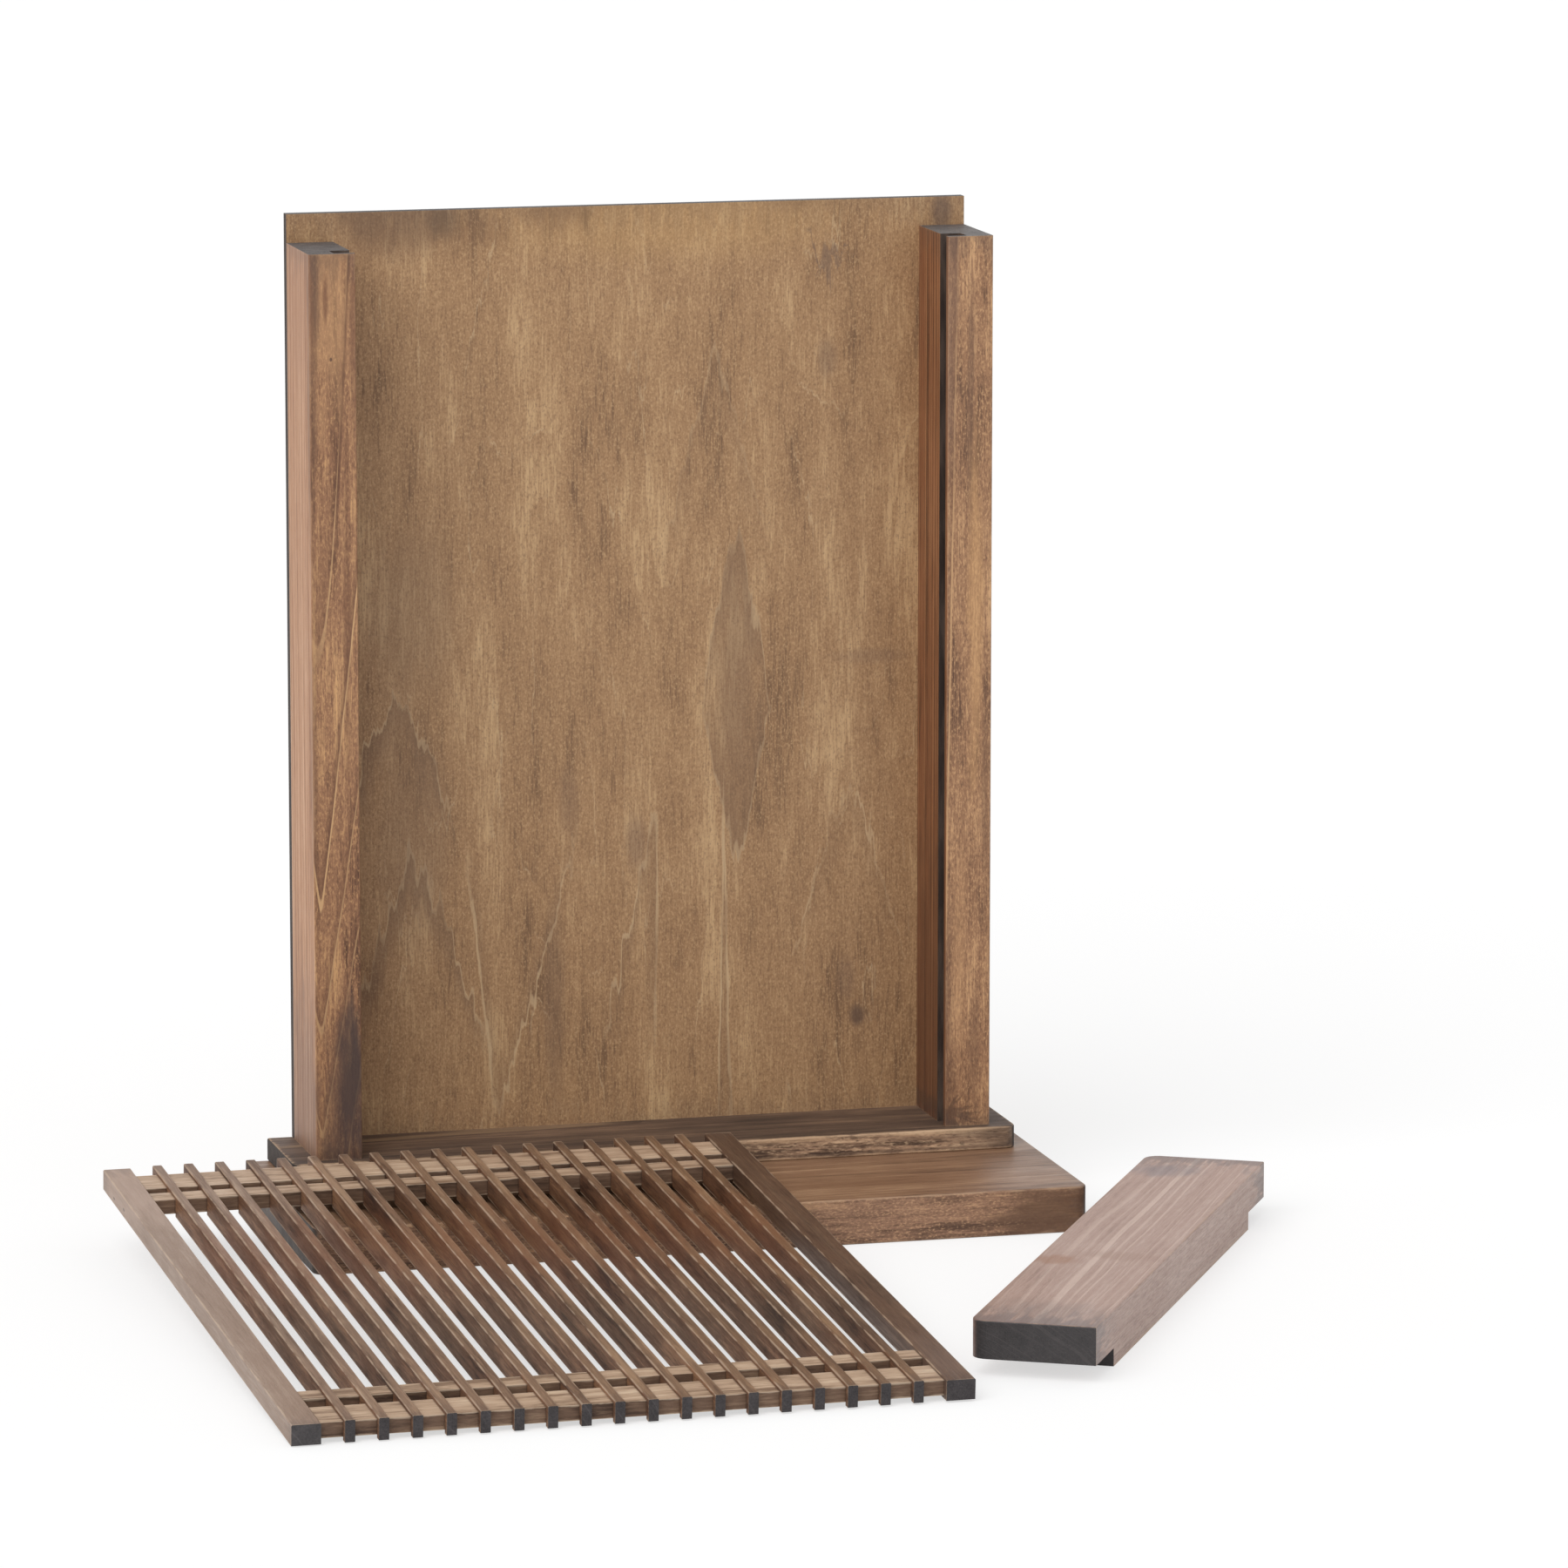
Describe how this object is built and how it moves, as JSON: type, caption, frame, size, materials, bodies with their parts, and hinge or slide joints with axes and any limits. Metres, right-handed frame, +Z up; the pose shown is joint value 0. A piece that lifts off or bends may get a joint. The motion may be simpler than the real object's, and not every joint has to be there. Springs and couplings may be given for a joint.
{
  "type": "kamidana",
  "caption": "Wooden household shrine that holds paper talismans, shown taken apart: standing body with grooved posts, lattice door laid in front, top cap laid beside it.",
  "frame": {"origin": "on the underside of the lower board, midway between the posts, below the back panel's front face", "axes": "+Z up, +X to the right along the front, +Y from front to back"},
  "size_m": [0.3638, 0.3119, 0.3163],
  "materials": {
    "lower_board": "dark brown stained wood, long grain, worn arrises",
    "upper_board": "dark brown stained wood, long grain, rough front arris",
    "back_panel": "brown stained plywood, mottled vertical grain",
    "left_post": "brown stained wood, vertical grain, grey end grain",
    "right_post": "brown stained wood, vertical grain, grey end grain",
    "top_cap": "pale brown stained wood, light long grain, grey end grain",
    "door_stiles": "greyish brown stained wood, grey end grain",
    "door_rails": "lighter yellow brown stained wood",
    "door_slats": "greyish brown stained wood, grey end grain"
  },
  "bodies": {
    "body": {"lower_board": "lower_board", "upper_board": "upper_board", "back_panel": "back_panel", "left_post": "left_post", "right_post": "right_post"},
    "door": {"door_left_stile": "door_stiles", "door_right_stile": "door_stiles", "door_near_outer_rail": "door_rails", "door_near_inner_rail": "door_rails", "door_far_inner_rail": "door_rails", "door_far_outer_rail": "door_rails", "door_slat_01": "door_slats", "door_slat_02": "door_slats", "door_slat_03": "door_slats", "door_slat_04": "door_slats", "door_slat_05": "door_slats", "door_slat_06": "door_slats", "door_slat_07": "door_slats", "door_slat_08": "door_slats", "door_slat_09": "door_slats", "door_slat_10": "door_slats", "door_slat_11": "door_slats", "door_slat_12": "door_slats", "door_slat_13": "door_slats", "door_slat_14": "door_slats", "door_slat_15": "door_slats", "door_slat_16": "door_slats", "door_slat_17": "door_slats", "door_slat_18": "door_slats"},
    "cap": {"top_cap": "top_cap"}
  },
  "joints": [
    {"name": "door_lift", "type": "slide", "parent": "body", "child": "door", "axis": [0, -0.069, 0.9976], "range_m": [0, 0.33]},
    {"name": "cap_lift", "type": "slide", "parent": "body", "child": "cap", "axis": [0, 0, 1], "range_m": [0, 0.33]}
  ]
}
